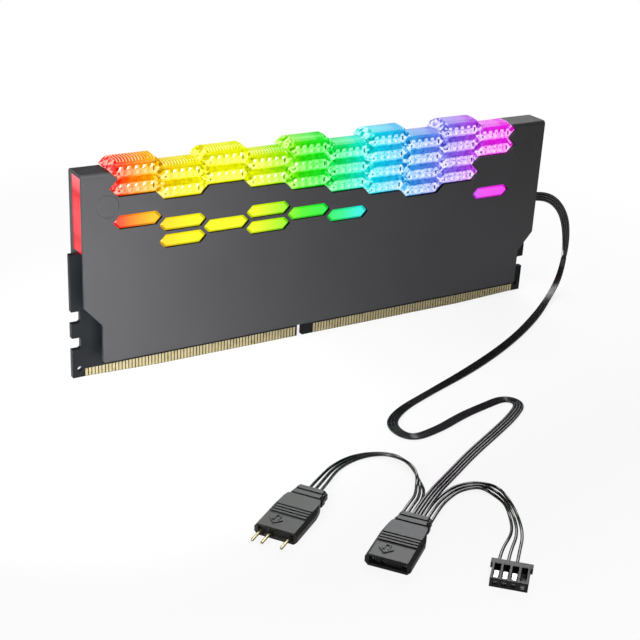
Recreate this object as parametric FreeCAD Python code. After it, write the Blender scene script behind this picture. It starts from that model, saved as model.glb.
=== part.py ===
"""Lit heat spreader clamped on a desktop memory module, with its lead and three plugs.

Frame: X runs along the module, Y through its thickness with the front at -Y, Z up.
The origin is the middle of the module's contact edge. All sizes are in millimetres.
"""
import FreeCAD, Part
import math
import os

Vec = FreeCAD.Vector

# Memory board
board_length = 133.35
board_height = 31.25
board_thickness = 1.4
edge_rise = 0.6
edge_flat_half = 45.0
edge_rise_end = 62.0
key_center = -5.575
key_width = 1.5
key_height = 3.9
key_round = 0.67
latch_depth = 2.2
latch_height = 2.9
latch_corner = 0.6
latch_bottoms = (7.8, 14.4)
end_hole_inset = 1.8
end_hole_z = 2.7
end_hole_radius = 0.65

# Gold contacts on both faces of the board
contact_pitch = 0.85
contact_width = 0.6
contact_top = 2.6
contact_edge_gap = 0.12
contact_thickness = 0.05
left_group_start = -63.325
left_group_count = 67
right_group_start = -1.275
right_group_count = 77

# Memory chips, the small identification chip and the thermal pads
chip_width = 9.0
chip_height = 11.0
chip_thickness = 1.1
chip_bottom = 12.5
chip_first = 8.5
chip_pitch = 14.3
chips_per_side = 4
spd_width = 3.0
spd_height = 2.0
spd_thickness = 0.8
spd_bottom = 17.0
pad_overhang = 1.6
pad_bottom = 11.0
pad_top = 25.0

# Aluminium covers
cover_left_margin = 6.665
cover_right_margin = 9.685
cover_bottom = 4.6
cover_rise = 19.03
cover_thickness = 0.8
cover_gap = 6.0
cover_bend_radius = 1.0
cover_corner = 0.5
chamfer_width = 4.4
chamfer_height = 5.0
chamfer_bottom = 14.0
flange_seam = 0.1

# Honeycomb of long hexagons that sets the light bar, its opening and the windows
cell_pitch = 11.26
cell_slant = 2.0
cell_half = 2.03
comb_center_x = -0.68
comb_rise = 13.36
column_levels = (0, -1, 0, -1, -2, -3, -4, -5, -4, -1)
column_cells = (2, 2, 2, 2, 3, 3, 4, 4, 4, 2)
window_cells = ((0, -3), (1, -4), (1, -6), (2, -5), (3, -4), (3, -6), (4, -5), (5, -6), (9, -6))

# Light bar
bar_half_depth = 3.45
bar_relief = 0.5
bar_round = 2.2
bar_round_facets = 3
bar_clearance = 0.12
cell_bevel = 0.85
cell_end_bevel = 0.9
cell_face_drop = 0.45
rim_drop = 1.6
rim_clearance = 0.1
guide_half_depth = 1.5
guide_clearance = 0.2

# Windows and the milky diffusers behind them
window_inset = 0.4
window_tip_round = 0.35
diffuser_thickness = 0.7
diffuser_gap = 0.05
diffuser_overlap = 1.05
diffuser_rim_gap = 0.3
window_pad_gap = 0.12
window_pad_recess = 0.25
window_pad_bevel = 0.4
window_pad_bevel_depth = 0.35

# Red end windows between the covers
end_window_recess = 0.35
end_window_depth = 3.2
end_window_gap = 0.08
end_window_lift = 0.2

# Light strip
strip_overhang = 1.2
strip_half_width = 2.1
strip_thickness = 0.8
strip_gap = 0.1
led_length = 2.7
led_width = 2.4
led_height = 0.8

# Flush studs in the front cover and the screws from the rear
stud_inset = 6.05
stud_drop = 2.01
stud_head_radius = 2.6
stud_body_radius = 2.0
stud_fit = 0.04
stud_bore_radius = 1.05
stud_bore_depth = 4.6
screw_head_radius = 2.0
screw_radius = 0.95
screw_length = 4.8
screw_socket_radius = 0.75
screw_socket_depth = 0.5

# Lead outlet between the front cover and the board
outlet_length = 4.3
outlet_height = 3.8
outlet_drop = 2.85
outlet_gap = 0.05
outlet_end_recess = 0.31

# Flat lead and its two branches
lead_diameter = 2.0
branch_diameter = 1.6
cord_spacing = 2.1
lead_run = 9.0
branch_run = 4.2
arc_share = 0.45
cord_sides = 8

# Two large plugs: a housing with a ribbed collar
plug_width = 9.0
plug_thickness = 2.5
plug_straight = 9.0
plug_length = 13.2
plug_rear_width = 7.0
plug_corner = 0.7
plug_shoulder_round = 2.5
plug_rear_round = 0.6
collar_width = 6.2
collar_rib_width = 7.2
collar_rib_length = 1.3
collar_groove = 0.55
collar_ribs = 2
grip_start = 5.2
grip_pitch = 0.95
grip_width = 0.5
grip_height = 0.3
grip_count = 4
socket_pitch = 2.0
socket_places = (0, 2, 3)
socket_count = 4
mouth_margin = 0.45
mouth_depth = 0.6
socket_radius = 0.55
socket_depth = 6.4
sleeve_side = 0.74
sleeve_wall = 0.09
sleeve_length = 5.0
sleeve_recess = 0.4
pin_side = 0.5
pin_reach = 4.0
pin_root = 3.0
pin_hole_gap = 0.02

# Small four-way housing with open cavities
small_pitch = 1.65
small_width = 7.0
small_length = 6.6
small_thickness = 1.9
small_places = (1, 2, 3)
small_count = 4
small_slot_width = 1.15
small_slot_length = 4.5
small_slot_depth = 1.4
small_front_wall = 0.5
small_key_width = 0.4
small_key_length = 1.6
small_key_bottom = 0.7
small_hole = 0.8
crimp_width = 1.05
crimp_length = 2.7
crimp_thickness = 1.1

# Where the plugs lie: middle of the front end, and the turn from front to rear in degrees
male_place = (-57.1, -79.8)
male_turn = 34.9
female_place = (-43.7, -97.8)
female_turn = 37.2
small_place = (-27.6, -112.9)
small_turn = 45.0

# Two points nearer than this are one point
same_point = 1e-6

board_half = board_thickness / 2
cover_top = board_height + cover_rise
cover_inner = cover_gap / 2
cover_outer = cover_inner + cover_thickness
comb_reach = (cell_pitch * len(column_levels) + cell_slant) / 2
cover_left = comb_center_x - comb_reach - cover_left_margin
cover_right = comb_center_x + comb_reach + cover_right_margin
strip_half_length = comb_reach + strip_overhang - cell_slant / 2
pad_half_length = chip_first + (chips_per_side - 1) * chip_pitch + chip_width / 2 + pad_overhang
strip_bottom = board_height + strip_gap
led_top = strip_bottom + strip_thickness + led_height
guide_bottom = led_top + guide_clearance
cell_flat = cell_pitch - cell_slant
comb_base_z = board_height + comb_rise
stud_z = comb_base_z - stud_drop
outlet_z = board_height - outlet_drop


def block(x0, x1, y0, y1, z0, z1):
    """Box between two corners."""
    return Part.makeBox(x1 - x0, y1 - y0, z1 - z0, Vec(x0, y0, z0))


def rounded_wire(points, radius):
    """Closed wire through points, with each corner rounded; radius is one value or one per point."""
    count = len(points)
    radii = radius if isinstance(radius, (list, tuple)) else [radius] * count
    starts, middles, ends = [], [], []
    for i, corner in enumerate(points):
        back = (points[i - 1] - corner).normalize()
        ahead = (points[(i + 1) % count] - corner).normalize()
        half = back.getAngle(ahead) / 2
        reach = radii[i] / math.tan(half)
        toward = (back + ahead).normalize()
        starts.append(corner + back * reach)
        ends.append(corner + ahead * reach)
        middles.append(corner + toward * (radii[i] / math.sin(half) - radii[i]))
    edges = []
    for i in range(count):
        if radii[i] > 0:
            edges.append(Part.Arc(starts[i], middles[i], ends[i]).toShape())
        if (starts[(i + 1) % count] - ends[i]).Length > same_point:
            edges.append(Part.LineSegment(ends[i], starts[(i + 1) % count]).toShape())
    return Part.Wire(edges)


def prism(wire, direction):
    """Solid swept from a flat closed wire."""
    return Part.Face(wire).extrude(direction)


def upright(outline, y0, y1, radius=0):
    """Prism through the thickness from an outline of (x, z) points."""
    points = [Vec(x, y0, z) for x, z in outline]
    return prism(rounded_wire(points, radius), Vec(0, y1 - y0, 0))


def mirrored(shape):
    """The same piece on the rear side."""
    return shape.mirror(Vec(0, 0, 0), Vec(0, 1, 0))


def fused(shapes):
    """One solid from touching shapes, without leftover seams."""
    shape = shapes[0].multiFuse(shapes[1:]) if len(shapes) > 1 else shapes[0]
    return shape.removeSplitter()


# Honeycomb

def column_x(column):
    """Middle of a column of cells."""
    return comb_center_x + (column - (len(column_levels) - 1) / 2) * cell_pitch


def level_z(level):
    """Height of a level, counted in half cells."""
    return comb_base_z + level * cell_half


def hexagon(column, level, inset=0.0, end_inset=None, drop=0.0):
    """Outline of one cell, drawn in by inset on all sides, or by end_inset at its slanted ends."""
    ends = inset if end_inset is None else end_inset
    middle = column_x(column)
    z = level_z(level) - drop
    half = cell_half - inset
    slope = cell_slant / cell_half
    tip = cell_flat / 2 + cell_slant - ends * math.hypot(1, slope)
    flat = tip - half * slope
    return [(middle - tip, z), (middle - flat, z + half), (middle + flat, z + half),
            (middle + tip, z), (middle + flat, z - half), (middle - flat, z - half)]


def tips_rounded(radius):
    """Corner radii of a cell that is rounded at its two tips only."""
    return [radius, 0, 0, radius, 0, 0]


def column_centers(column):
    """Levels of the middles of a column's cells."""
    return [column_levels[column] + 1 + 2 * i for i in range(column_cells[column])]


def comb_prism(depth, spread=0.0, drop=0.0):
    """All cells of the bar as one prism of the given half depth."""
    cells = []
    for column in range(len(column_levels)):
        for level in column_centers(column):
            cells.append(upright(hexagon(column, level, -spread, drop=drop), -depth, depth))
    return fused(cells)


def cell_boss(column, level):
    """Raised face of one cell: a long hexagonal boss with bevelled sides."""
    base_y = -(bar_half_depth - bar_relief)
    foot = [Vec(x, base_y, z) for x, z in hexagon(column, level)]
    face = [Vec(x, -bar_half_depth, z) for x, z in hexagon(column, level, cell_bevel, cell_end_bevel,
                                                                cell_face_drop)]
    return Part.makeLoft([rounded_wire(foot, 0), rounded_wire(face, 0)], True, True)


def crown(column):
    """Envelope that rounds the two top edges of a column with a few flat facets."""
    top = level_z(column_levels[column] + 2 * column_cells[column])
    reach = cell_flat / 2 + cell_slant
    bottom = guide_bottom - cell_half
    section = [(-bar_half_depth, bottom), (bar_half_depth, bottom)]
    for side in (1, -1):
        for i in range(bar_round_facets + 1)[::side]:
            angle = math.pi / 2 * i / bar_round_facets
            section.append((side * (bar_half_depth - bar_round * (1 - math.cos(angle))),
                            top - bar_round * (1 - math.sin(angle))))
    points = [Vec(column_x(column) - reach, y, z) for y, z in section]
    return prism(rounded_wire(points, 0), Vec(2 * reach, 0, 0))


def light_bar():
    """Clear stepped bar: cell bosses on both faces, a hidden rim and the guide down to the lights."""
    core_depth = bar_half_depth - bar_relief
    columns = []
    for column in range(len(column_levels)):
        cells = []
        for level in column_centers(column):
            boss = cell_boss(column, level)
            cells += [upright(hexagon(column, level), -core_depth, core_depth), boss, mirrored(boss)]
        columns.append(fused(cells).common(crown(column)))
    reach = cell_pitch * (len(column_levels) - 1) / 2 + cell_flat / 2
    guide = block(comb_center_x - reach, comb_center_x + reach, -guide_half_depth, guide_half_depth,
                  guide_bottom, level_z(0) + cell_half)
    rim = comb_prism(cover_inner - rim_clearance, drop=rim_drop)
    lowest_top = level_z(min(level + 2 * cells for level, cells in zip(column_levels, column_cells)))
    rim = rim.common(block(cover_left, cover_right, -cover_inner, cover_inner,
                           guide_bottom, lowest_top - cell_half))
    return clear_of_studs(fused(columns + [rim, guide]))


# Covers

def stud_places():
    """Both studs, at the same distance from the cover's ends."""
    return (cover_left + stud_inset, cover_right - stud_inset)


def clear_of_studs(shape):
    """The same piece with a notch round each stud."""
    for x in stud_places():
        shape = shape.cut(Part.makeCylinder(stud_body_radius + rim_clearance, cover_gap,
                                            Vec(x, -cover_inner, stud_z), Vec(0, 1, 0)))
    return shape


def cover_sheet():
    """Bent sheet of the front cover: plate, top bend and half of the top flange."""
    inner_bend = cover_bend_radius - cover_thickness
    section = [(-cover_outer, cover_bottom), (-cover_outer, cover_top), (-flange_seam / 2, cover_top),
               (-flange_seam / 2, cover_top - cover_thickness),
               (-cover_inner, cover_top - cover_thickness), (-cover_inner, cover_bottom)]
    points = [Vec(cover_left, y, z) for y, z in section]
    return prism(rounded_wire(points, [0, cover_bend_radius, 0, 0, inner_bend, 0]), Vec(cover_right - cover_left, 0, 0))


def cover_outline():
    """Outline of the cover from the front, with the slanted lower corners."""
    top = chamfer_bottom + chamfer_height
    left, right = cover_left, cover_right
    return [(left, cover_top + cover_thickness), (right, cover_top + cover_thickness), (right, top),
            (right - chamfer_width, chamfer_bottom), (right - chamfer_width, cover_bottom),
            (left + chamfer_width, cover_bottom), (left + chamfer_width, chamfer_bottom), (left, top)]


def front_cover():
    """Front cover with the stepped opening, the nine windows and the two stud holes."""
    outline = upright(cover_outline(), -cover_outer, 0, [0, 0, 0, cover_corner, cover_corner, cover_corner,
                                                        cover_corner, 0])
    cover = cover_sheet().common(outline)
    cover = cover.cut(comb_prism(cover_outer, bar_clearance))
    for column, level in window_cells:
        window = upright(hexagon(column, level, window_inset), -cover_outer, 0, tips_rounded(window_tip_round))
        cover = cover.cut(window)
    return cover


def stud_hole(radius):
    """Holes through the front cover at both stud places."""
    return [Part.makeCylinder(radius, cover_thickness, Vec(x, -cover_outer, stud_z), Vec(0, 1, 0))
            for x in stud_places()]


def studs():
    """Two clinched studs whose heads lie flush in the front cover."""
    shapes = []
    for x in stud_places():
        head = Part.makeCylinder(stud_head_radius, cover_thickness, Vec(x, -cover_outer, stud_z), Vec(0, 1, 0))
        body = Part.makeCylinder(stud_body_radius, cover_gap, Vec(x, -cover_inner, stud_z), Vec(0, 1, 0))
        bore = Part.makeCylinder(stud_bore_radius, stud_bore_depth,
                                 Vec(x, cover_inner - stud_bore_depth, stud_z), Vec(0, 1, 0))
        shapes.append(head.fuse(body).cut(bore).removeSplitter())
    return shapes


def rear_screws():
    """Two countersunk screws that hold the rear cover to the studs."""
    shapes = []
    for x in stud_places():
        head = Part.makeCone(screw_radius, screw_head_radius, cover_thickness,
                             Vec(x, cover_inner, stud_z), Vec(0, 1, 0))
        shank = Part.makeCylinder(screw_radius, screw_length - cover_thickness,
                                  Vec(x, cover_outer - screw_length, stud_z), Vec(0, 1, 0))
        socket = hexagonal_socket(x)
        shapes.append(head.fuse(shank).cut(socket).removeSplitter())
    return shapes


def hexagonal_socket(x):
    """Recess for a hex key in a screw head."""
    corners = []
    for i in range(6):
        turn = math.radians(60 * i)
        corners.append(Vec(x + screw_socket_radius * math.cos(turn), cover_outer - screw_socket_depth,
                           stud_z + screw_socket_radius * math.sin(turn)))
    return prism(rounded_wire(corners, 0), Vec(0, screw_socket_depth, 0))


def rear_cover(front):
    """Rear cover: the front one mirrored, with countersunk screw holes."""
    cover = mirrored(front)
    for x in stud_places():
        cover = cover.cut(Part.makeCone(screw_radius + stud_fit, screw_head_radius + stud_fit, cover_thickness,
                                        Vec(x, cover_inner, stud_z), Vec(0, 1, 0)))
    return cover


# Diffusers and lights

def front_window_diffuser():
    """Milky sheet behind the front cover, with a bevelled pad in each window."""
    outer = cover_inner - diffuser_gap
    inner = outer - diffuser_thickness
    face = cover_outer - window_pad_recess
    reach = cell_pitch * len(column_levels) / 2
    top = level_z(max(column_levels)) - rim_drop - diffuser_rim_gap
    sheet = block(comb_center_x - reach, comb_center_x + reach, -outer, -inner,
                  board_height - diffuser_overlap, top)
    for drop in (0, rim_drop):
        sheet = sheet.cut(comb_prism(outer, diffuser_rim_gap, drop))
    shoulder = -(face - window_pad_bevel_depth)
    pads = []
    for column, level in window_cells:
        foot = hexagon(column, level, window_inset + window_pad_gap)
        crest = hexagon(column, level, window_inset + window_pad_gap + window_pad_bevel)
        pads.append(upright(foot, shoulder, -inner))
        sides = [rounded_wire([Vec(x, shoulder, z) for x, z in foot], 0),
                 rounded_wire([Vec(x, -face, z) for x, z in crest], 0)]
        pads.append(Part.makeLoft(sides, True, True))
    return clear_of_studs(fused([sheet] + pads))


def end_window(side):
    """Red end window between the covers; side is -1 at the left end and 1 at the right."""
    outer = (cover_left if side < 0 else cover_right) - side * end_window_recess
    inner = outer - side * end_window_depth
    half = cover_inner - end_window_gap
    top = cover_top - cover_thickness - end_window_gap
    return block(min(outer, inner), max(outer, inner), -half, half, board_height + end_window_lift, top)


def led_strip():
    """Narrow circuit strip that lies along the top edge of the memory board."""
    return block(comb_center_x - strip_half_length, comb_center_x + strip_half_length,
                 -strip_half_width, strip_half_width, strip_bottom, strip_bottom + strip_thickness)


def led_chips():
    """One light under each column of the bar."""
    shapes = []
    for column in range(len(column_levels)):
        x = column_x(column)
        shapes.append(block(x - led_length / 2, x + led_length / 2, -led_width / 2, led_width / 2,
                            strip_bottom + strip_thickness, led_top))
    return shapes


# Memory module

def edge_height(x):
    """Height of the bowed lower edge of the board."""
    share = (abs(x) - edge_flat_half) / (edge_rise_end - edge_flat_half)
    return edge_rise * min(max(share, 0.0), 1.0)


def memory_board():
    """Circuit board with the key notch, latch notches and bowed contact edge."""
    half = board_length / 2
    bottom = [(half, edge_rise), (edge_rise_end, edge_rise), (edge_flat_half, 0.0),
              (-edge_flat_half, 0.0), (-edge_rise_end, edge_rise), (-half, edge_rise)]
    outline = [(-half, board_height), (half, board_height)] + bottom
    board = upright(outline, -board_half, board_half)
    key = upright([(key_center - key_width / 2, -key_width), (key_center + key_width / 2, -key_width),
                   (key_center + key_width / 2, key_height), (key_center - key_width / 2, key_height)],
                  -board_half, board_half, [0, 0, key_round, key_round])
    board = board.cut(key)
    for side in (-1, 1):
        for z in latch_bottoms:
            outer = side * (half + latch_depth)
            inner = side * (half - latch_depth)
            notch = [(outer, z), (inner, z), (inner, z + latch_height), (outer, z + latch_height)]
            board = board.cut(upright(notch, -board_half, board_half, [0, latch_corner, latch_corner, 0]))
        board = board.cut(Part.makeCylinder(end_hole_radius, board_thickness,
                                            Vec(side * (half - end_hole_inset), -board_half, end_hole_z),
                                            Vec(0, 1, 0)))
    return board


def edge_contacts():
    """Gold contacts on the front face of the board, in two groups beside the key notch."""
    shapes = []
    for start, count in ((left_group_start, left_group_count), (right_group_start, right_group_count)):
        for i in range(count):
            x = start + i * contact_pitch
            low = edge_height(abs(x) + contact_width / 2) + contact_edge_gap
            shapes.append(block(x - contact_width / 2, x + contact_width / 2,
                                -board_half - contact_thickness, -board_half, low, contact_top))
    return shapes


def memory_chips():
    """Eight memory chips on the front face of the board."""
    shapes = []
    for side in (-1, 1):
        for i in range(chips_per_side):
            x = side * (chip_first + i * chip_pitch)
            shapes.append(block(x - chip_width / 2, x + chip_width / 2,
                                -board_half - chip_thickness, -board_half,
                                chip_bottom, chip_bottom + chip_height))
    return shapes


def spd_chip():
    """Small identification chip between the memory chips."""
    return block(-spd_width / 2, spd_width / 2, -board_half - spd_thickness, -board_half,
                 spd_bottom, spd_bottom + spd_height)


def thermal_pad():
    """Soft pad that fills the space between the chips and the front cover."""
    return block(-pad_half_length, pad_half_length, -cover_inner, -board_half - chip_thickness,
                 pad_bottom, pad_top)


# Lead

def lead_outlet():
    """Rubber block that holds the lead between the front cover and the board."""
    end = cover_right - outlet_end_recess
    return block(end - outlet_length, end, -cover_inner + outlet_gap, -board_half - outlet_gap,
                 outlet_z - outlet_height / 2, outlet_z + outlet_height / 2)


def cord_section(diameter, center, direction):
    """Closed many-sided ring across the cord, standing on one of its flat sides."""
    along = direction.normalize()
    across = along.cross(Vec(0, 0, 1)).normalize()
    up = across.cross(along)
    side_turn = 2 * math.pi / cord_sides
    radius = diameter / 2 / math.cos(side_turn / 2)
    corners = []
    for i in range(cord_sides):
        angle = (i + 0.5) * side_turn
        corners.append(center + across * (radius * math.cos(angle)) + up * (radius * math.sin(angle)))
    return Part.makePolygon(corners + corners[:1])


def cord(name, route, diameter):
    """Tube of straight runs joined by tangent arcs, each as large as its two runs allow.

    Prints the tube's length, its radii and how its volume compares with section times length.
    """
    points = [Vec(*point) for point in route]
    ring = cord_section(diameter, points[0], points[1] - points[0])
    faces = [Part.Face(ring)]
    section_area = faces[0].Area
    start = points[0]
    length = 0.0
    radii = []
    for before, corner, after in zip(points, points[1:], points[2:]):
        back = before - corner
        ahead = after - corner
        turn = math.pi - back.getAngle(ahead)
        reach = arc_share * min(back.Length, ahead.Length)
        radius = reach / math.tan(turn / 2)
        radii.append(round(radius, 1))
        back.normalize()
        ahead.normalize()
        run = corner + back * reach - start
        center = corner + (back + ahead).normalize() * (radius / math.cos(turn / 2))
        axis = ahead.cross(back)
        faces += ring.extrude(run).Faces
        ring.translate(run)
        faces += ring.revolve(center, axis, math.degrees(turn)).Faces
        ring.rotate(center, axis, math.degrees(turn))
        start = corner + ahead * reach
        length += run.Length + radius * turn
    run = points[-1] - start
    faces += ring.extrude(run).Faces
    ring.translate(run)
    faces.append(Part.Face(ring))
    shell = Part.Compound(faces)
    shell.sewShape()
    tube = Part.Solid(shell.Shells[0])
    if tube.Volume < 0:
        tube.reverse()
    expected = section_area * (length + run.Length)
    print(name, "length", round(length + run.Length, 1), "volume share", round(tube.Volume / expected, 4),
          "radii", radii)
    return tube


# Plugs

def placed(shape, place, turn):
    """Move a plug from its own frame, front end at the origin and rear along +X, to where it lies."""
    moved = shape.copy()
    moved.rotate(Vec(0, 0, 0), Vec(0, 0, 1), turn)
    moved.translate(Vec(place[0], place[1], 0))
    return moved


def rear_point(place, turn, length, across=0.0, height=0.0):
    """Point at the rear end of a plug, moved across it."""
    angle = math.radians(turn)
    return (place[0] + length * math.cos(angle) + across * math.sin(angle),
            place[1] + length * math.sin(angle) - across * math.cos(angle), height)


def flat_prism(outline, z0, z1, radius=0):
    """Prism standing on the floor from an outline of (x, y) points."""
    points = [Vec(x, y, z0) for x, y in outline]
    return prism(rounded_wire(points, radius), Vec(0, 0, z1 - z0))


def plug_total():
    """Whole length of a large plug."""
    return plug_length + collar_ribs * (collar_groove + collar_rib_length)


def long_bar(start, end, width, thickness):
    """Bar along a plug with its four long edges cut off."""
    half = width / 2
    side = half - plug_corner
    top = thickness - plug_corner
    section = [(-half, plug_corner), (-side, 0), (side, 0), (half, plug_corner),
               (half, top), (side, thickness), (-side, thickness), (-half, top)]
    return prism(rounded_wire([Vec(start, y, z) for y, z in section], 0), Vec(end - start, 0, 0))


def plug_body():
    """Housing with its tapered shoulders, grip ridges and ribbed collar."""
    half = plug_width / 2
    rear = plug_rear_width / 2
    outline = [(0, -half), (plug_straight, -half), (plug_length, -rear),
               (plug_length, rear), (plug_straight, half), (0, half)]
    radii = [0, plug_shoulder_round, plug_rear_round, plug_rear_round, plug_shoulder_round, 0]
    body = flat_prism(outline, 0, plug_thickness, radii)
    parts = [body.common(long_bar(0, plug_length, plug_width, plug_thickness))]
    parts.append(block(plug_length - collar_groove, plug_total(), -collar_width / 2, collar_width / 2,
                       plug_corner / 2, plug_thickness - plug_corner / 2))
    for i in range(collar_ribs):
        start = plug_length + collar_groove + i * (collar_groove + collar_rib_length)
        width = collar_rib_width - i * (collar_rib_width - collar_width) / collar_ribs
        parts.append(long_bar(start, start + collar_rib_length, width, plug_thickness))
    for i in range(grip_count):
        start = grip_start + i * grip_pitch
        parts.append(block(start, start + grip_width, plug_corner - half, half - plug_corner,
                           plug_thickness / 2, plug_thickness + grip_height))
    return fused(parts)


def place_y(place):
    """Position across a plug of one of its four places."""
    return (place - (socket_count - 1) / 2) * socket_pitch


def plug_mouth():
    """Shallow rectangular recess in the front end."""
    half = plug_width / 2 - mouth_margin - plug_corner / 2
    return block(0, mouth_depth, -half, half, mouth_margin, plug_thickness - mouth_margin)


def female_connector():
    """Plug with round sockets at three of its four places."""
    body = plug_body().cut(plug_mouth())
    for place in socket_places:
        body = body.cut(Part.makeCylinder(socket_radius, socket_depth, Vec(0, place_y(place), plug_thickness / 2),
                                          Vec(1, 0, 0)))
    return body


def female_contacts():
    """Three square spring sleeves inside the sockets."""
    start = mouth_depth + sleeve_recess
    middle = plug_thickness / 2
    shapes = []
    for place in socket_places:
        y = place_y(place)
        outer, bore = [block(start, start + sleeve_length, y - half, y + half, middle - half, middle + half)
                       for half in (sleeve_side / 2, sleeve_side / 2 - sleeve_wall)]
        shapes.append(outer.cut(bore))
    return shapes


def male_connector():
    """Plug with three square holes for its pins."""
    body = plug_body().cut(plug_mouth())
    half = pin_side / 2 + pin_hole_gap
    middle = plug_thickness / 2
    for place in socket_places:
        body = body.cut(block(mouth_depth, mouth_depth + pin_root, place_y(place) - half, place_y(place) + half,
                              middle - half, middle + half))
    return body


def male_pins():
    """Three square pins that stand out of the front end."""
    shapes = []
    half = pin_side / 2
    middle = plug_thickness / 2
    for place in socket_places:
        shapes.append(block(-pin_reach, mouth_depth + pin_root, place_y(place) - half, place_y(place) + half,
                            middle - half, middle + half))
    return shapes


def small_y(place):
    """Position across the small housing of one of its four places."""
    return (place - (small_count - 1) / 2) * small_pitch


def small_connector():
    """Flat four-way housing with a cavity open to the top at each place."""
    half = small_width / 2
    body = block(0, small_length, -half, half, 0, small_thickness)
    key_half = half + small_key_width
    body = body.fuse(block(small_length - small_key_length, small_length, -key_half, key_half,
                           small_key_bottom, small_thickness))
    slot_floor = small_thickness - small_slot_depth
    slot_half = small_slot_width / 2
    for place in range(small_count):
        y = small_y(place)
        body = body.cut(block(small_front_wall, small_front_wall + small_slot_length, y - slot_half, y + slot_half,
                              slot_floor, small_thickness))
        body = body.cut(block(0, small_front_wall, y - small_hole / 2, y + small_hole / 2,
                              slot_floor, slot_floor + small_hole))
    return body.removeSplitter()


def small_crimps():
    """Crimped terminals seen in three of the cavities."""
    shapes = []
    slot_floor = small_thickness - small_slot_depth
    front = small_front_wall
    for place in small_places:
        y = small_y(place)
        shapes.append(block(front, front + crimp_length, y - crimp_width / 2, y + crimp_width / 2,
                            slot_floor, slot_floor + crimp_thickness))
    return shapes


# Routes, chosen by hand along the floor from the outlet to the plugs

lead_route = [
    (cover_right - outlet_end_recess, -1.85, outlet_z), (72.0, -1.85, outlet_z), (78.6, -2.4, 22.6),
    (80.2, -3.4, 13.6), (77.6, -5.2, 4.4), (70.5, -9.2, 1.0), (56.5, -19.4, 1.0), (40.4, -28.8, 1.0),
    (22.0, -37.0, 1.0), (5.0, -42.9, 1.0), (-6.6, -47.2, 1.0), (-12.6, -52.4, 1.0), (-11.8, -59.6, 1.0),
    (-3.2, -58.4, 1.0), (5.2, -55.5, 1.0), (13.0, -53.9, 1.0), (19.8, -52.7, 1.0), (21.6, -56.8, 1.0),
    (15.2, -61.2, 1.0), (6.6, -65.6, 1.0), (-3.6, -70.6, 1.0), (-13.6, -76.4, 1.0),
    rear_point(female_place, female_turn, plug_total() + lead_run, 0.0, plug_thickness / 2),
    rear_point(female_place, female_turn, plug_total(), 0.0, plug_thickness / 2)]

male_branch_route = [
    rear_point(female_place, female_turn, plug_total(), -cord_spacing, plug_thickness / 2),
    rear_point(female_place, female_turn, plug_total() + branch_run, -cord_spacing, plug_thickness / 2),
    (-24.0, -80.2, 0.8), (-20.6, -75.6, 0.8), (-18.4, -69.6, 0.8), (-19.6, -63.4, 0.8),
    (-25.6, -60.4, 0.8), (-32.8, -62.2, 0.8),
    rear_point(male_place, male_turn, plug_total() + branch_run, 0.0, plug_thickness / 2),
    rear_point(male_place, male_turn, plug_total(), 0.0, plug_thickness / 2)]

small_branch_route = [
    rear_point(female_place, female_turn, plug_total(), cord_spacing, plug_thickness / 2),
    rear_point(female_place, female_turn, plug_total() + branch_run, cord_spacing, plug_thickness / 2),
    (-20.4, -83.0, 0.8), (-14.6, -80.6, 0.8), (-9.8, -82.4, 0.8), (-8.8, -88.0, 0.8),
    (-11.2, -94.4, 0.8), (-14.8, -100.0, 0.8),
    rear_point(small_place, small_turn, small_length + branch_run, -small_pitch / 2, small_thickness / 2),
    rear_point(small_place, small_turn, small_length, -small_pitch / 2, small_thickness / 2)]


def main():
    """Build every piece and write one file for each node."""
    front = front_cover()
    front_holed = front
    for hole in stud_hole(stud_head_radius + stud_fit):
        front_holed = front_holed.cut(hole)
    diffuser = front_window_diffuser()
    contacts = edge_contacts()
    chips = memory_chips()
    pad = thermal_pad()
    pieces = {
        "front_cover": front_holed,
        "rear_cover": rear_cover(front),
        "light_bar": light_bar(),
        "front_window_diffuser": diffuser,
        "rear_window_diffuser": mirrored(diffuser),
        "left_end_window": end_window(-1),
        "right_end_window": end_window(1),
        "led_strip": led_strip(),
        "led_chips": led_chips(),
        "cover_studs": studs(),
        "rear_screws": rear_screws(),
        "memory_board": memory_board(),
        "front_contacts": contacts,
        "rear_contacts": [mirrored(contact) for contact in contacts],
        "front_memory_chips": chips,
        "rear_memory_chips": [mirrored(chip) for chip in chips],
        "spd_chip": spd_chip(),
        "front_thermal_pad": pad,
        "rear_thermal_pad": mirrored(pad),
        "lead_outlet": lead_outlet(),
        "main_lead": cord("main_lead", lead_route, lead_diameter),
        "male_branch": cord("male_branch", male_branch_route, branch_diameter),
        "small_branch": cord("small_branch", small_branch_route, branch_diameter),
        "male_connector": placed(male_connector(), male_place, male_turn),
        "male_pins": [placed(pin, male_place, male_turn) for pin in male_pins()],
        "female_connector": placed(female_connector(), female_place, female_turn),
        "female_contacts": [placed(sleeve, female_place, female_turn) for sleeve in female_contacts()],
        "small_connector": placed(small_connector(), small_place, small_turn),
        "small_crimps": [placed(crimp, small_place, small_turn) for crimp in small_crimps()],
    }
    os.makedirs("parts", exist_ok=True)
    for name, piece in pieces.items():
        solids = []
        for shape in piece if isinstance(piece, list) else [piece]:
            solids += shape.Solids
        shape = Part.Compound(solids) if len(solids) > 1 else solids[0]
        if not shape.isValid():
            print("not valid:", name)
        shape.exportStep("parts/" + name + ".step")
        print(name, len(solids), round(shape.Volume, 2))


main()
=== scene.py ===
"""Looks of a lit memory module heat spreader, its light bar, flat lead and three plugs.

Lengths are written in millimetres, in the part's own frame: X along the module towards the end that
the lead leaves from, Y through its thickness with the front at -Y, Z up from the contact edge.
"""
import math
import random

import bmesh
import bpy
from mathutils import Matrix, Vector


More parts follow.
